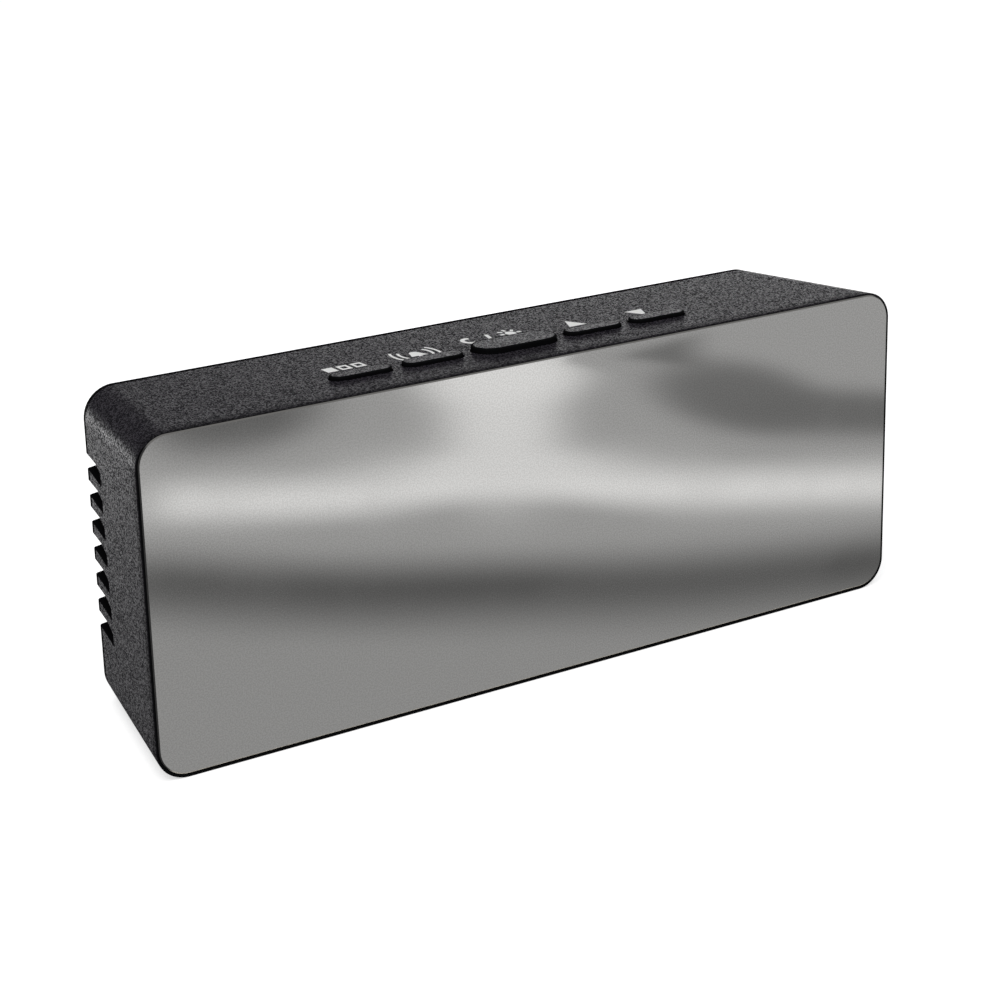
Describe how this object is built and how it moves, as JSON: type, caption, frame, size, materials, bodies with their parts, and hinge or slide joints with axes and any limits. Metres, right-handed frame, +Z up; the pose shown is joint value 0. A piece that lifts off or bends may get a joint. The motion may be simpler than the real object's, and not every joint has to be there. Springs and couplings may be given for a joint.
{
  "type": "mirror alarm clock",
  "caption": "Table alarm clock with a flat mirror over its display, a drafted black case, a row of keys along the top, side vents and a battery door at the rear.",
  "frame": {"origin": "on the resting plane, under the middle of the clock", "axes": "+X to the right seen from the front, the mirror faces -Y, +Z up"},
  "size_m": [0.145, 0.034, 0.0574],
  "materials": {
    "case_plastic": "fine spark-textured black moulding",
    "key_plastic": "fine textured black moulding",
    "mirror_acrylic": "silver mirror plate with dark polished edges",
    "foam_tape": "black adhesive foam",
    "smoke_film": "smoke grey diffusing film",
    "white_plastic": "white moulding",
    "circuit_board": "green solder mask",
    "lamp_lens": "pale yellow lamp encapsulant",
    "zinc_screws": "bright zinc plate",
    "black_screws": "black oxide",
    "component_black": "black epoxy moulding",
    "nickel_plate": "nickel plate",
    "capacitor_sleeve": "dark blue sleeve",
    "sensor_epoxy": "dark epoxy bead",
    "switch_plunger": "ivory moulding",
    "cell_sleeve": "plain printed sleeve",
    "red_insulation": "red insulation",
    "black_insulation": "black insulation"
  },
  "bodies": {
    "case": {"main_case": "case_plastic", "rear_cover": "case_plastic", "mirror_panel": "mirror_acrylic", "mirror_tape": "foam_tape", "display_diffuser": "smoke_film", "digit_reflector": "white_plastic", "display_board": "circuit_board", "key_board": "circuit_board", "power_board": "circuit_board", "segment_lamps": "lamp_lens", "display_board_screws": "zinc_screws", "key_board_screws": "zinc_screws", "rear_cover_screws": "black_screws", "power_board_screws": "zinc_screws", "buzzer": "component_black", "control_chip": "component_black", "crystal": "nickel_plate", "smoothing_capacitor": "capacitor_sleeve", "temperature_sensor": "sensor_epoxy", "key_switches": "component_black", "board_link_pins": "nickel_plate", "battery_cells": "cell_sleeve", "battery_contacts": "nickel_plate", "battery_springs": "nickel_plate", "socket_shell": "nickel_plate", "socket_tongue": "component_black", "red_lead": "red_insulation", "black_lead": "black_insulation"},
    "mode_key": {"mode_button": "key_plastic", "mode_plunger": "switch_plunger"},
    "alarm_key": {"alarm_button": "key_plastic", "alarm_plunger": "switch_plunger"},
    "snooze_light_key": {"snooze_light_button": "key_plastic", "snooze_light_plunger": "switch_plunger"},
    "up_key": {"up_button": "key_plastic", "up_plunger": "switch_plunger"},
    "down_key": {"down_button": "key_plastic", "down_plunger": "switch_plunger"},
    "door": {"battery_door": "case_plastic"}
  },
  "joints": [
    {"name": "mode_press", "type": "slide", "parent": "case", "child": "mode_key", "axis": [0, -0.0532, -0.9986], "range_m": [0, 0.00035], "stiffness_N_per_m": 2000, "springref_m": -0.0001},
    {"name": "alarm_press", "type": "slide", "parent": "case", "child": "alarm_key", "axis": [0, -0.0532, -0.9986], "range_m": [0, 0.00035], "stiffness_N_per_m": 2000, "springref_m": -0.0001},
    {"name": "snooze_light_press", "type": "slide", "parent": "case", "child": "snooze_light_key", "axis": [0, -0.0532, -0.9986], "range_m": [0, 0.00035], "stiffness_N_per_m": 2000, "springref_m": -0.0001},
    {"name": "up_press", "type": "slide", "parent": "case", "child": "up_key", "axis": [0, -0.0532, -0.9986], "range_m": [0, 0.00035], "stiffness_N_per_m": 2000, "springref_m": -0.0001},
    {"name": "down_press", "type": "slide", "parent": "case", "child": "down_key", "axis": [0, -0.0532, -0.9986], "range_m": [0, 0.00035], "stiffness_N_per_m": 2000, "springref_m": -0.0001},
    {"name": "door_swing", "type": "hinge", "parent": "case", "child": "door", "pos_m": [0, 0.01575, 0.01165], "axis": [-1, 0, 0], "range_deg": [0, 90]}
  ]
}
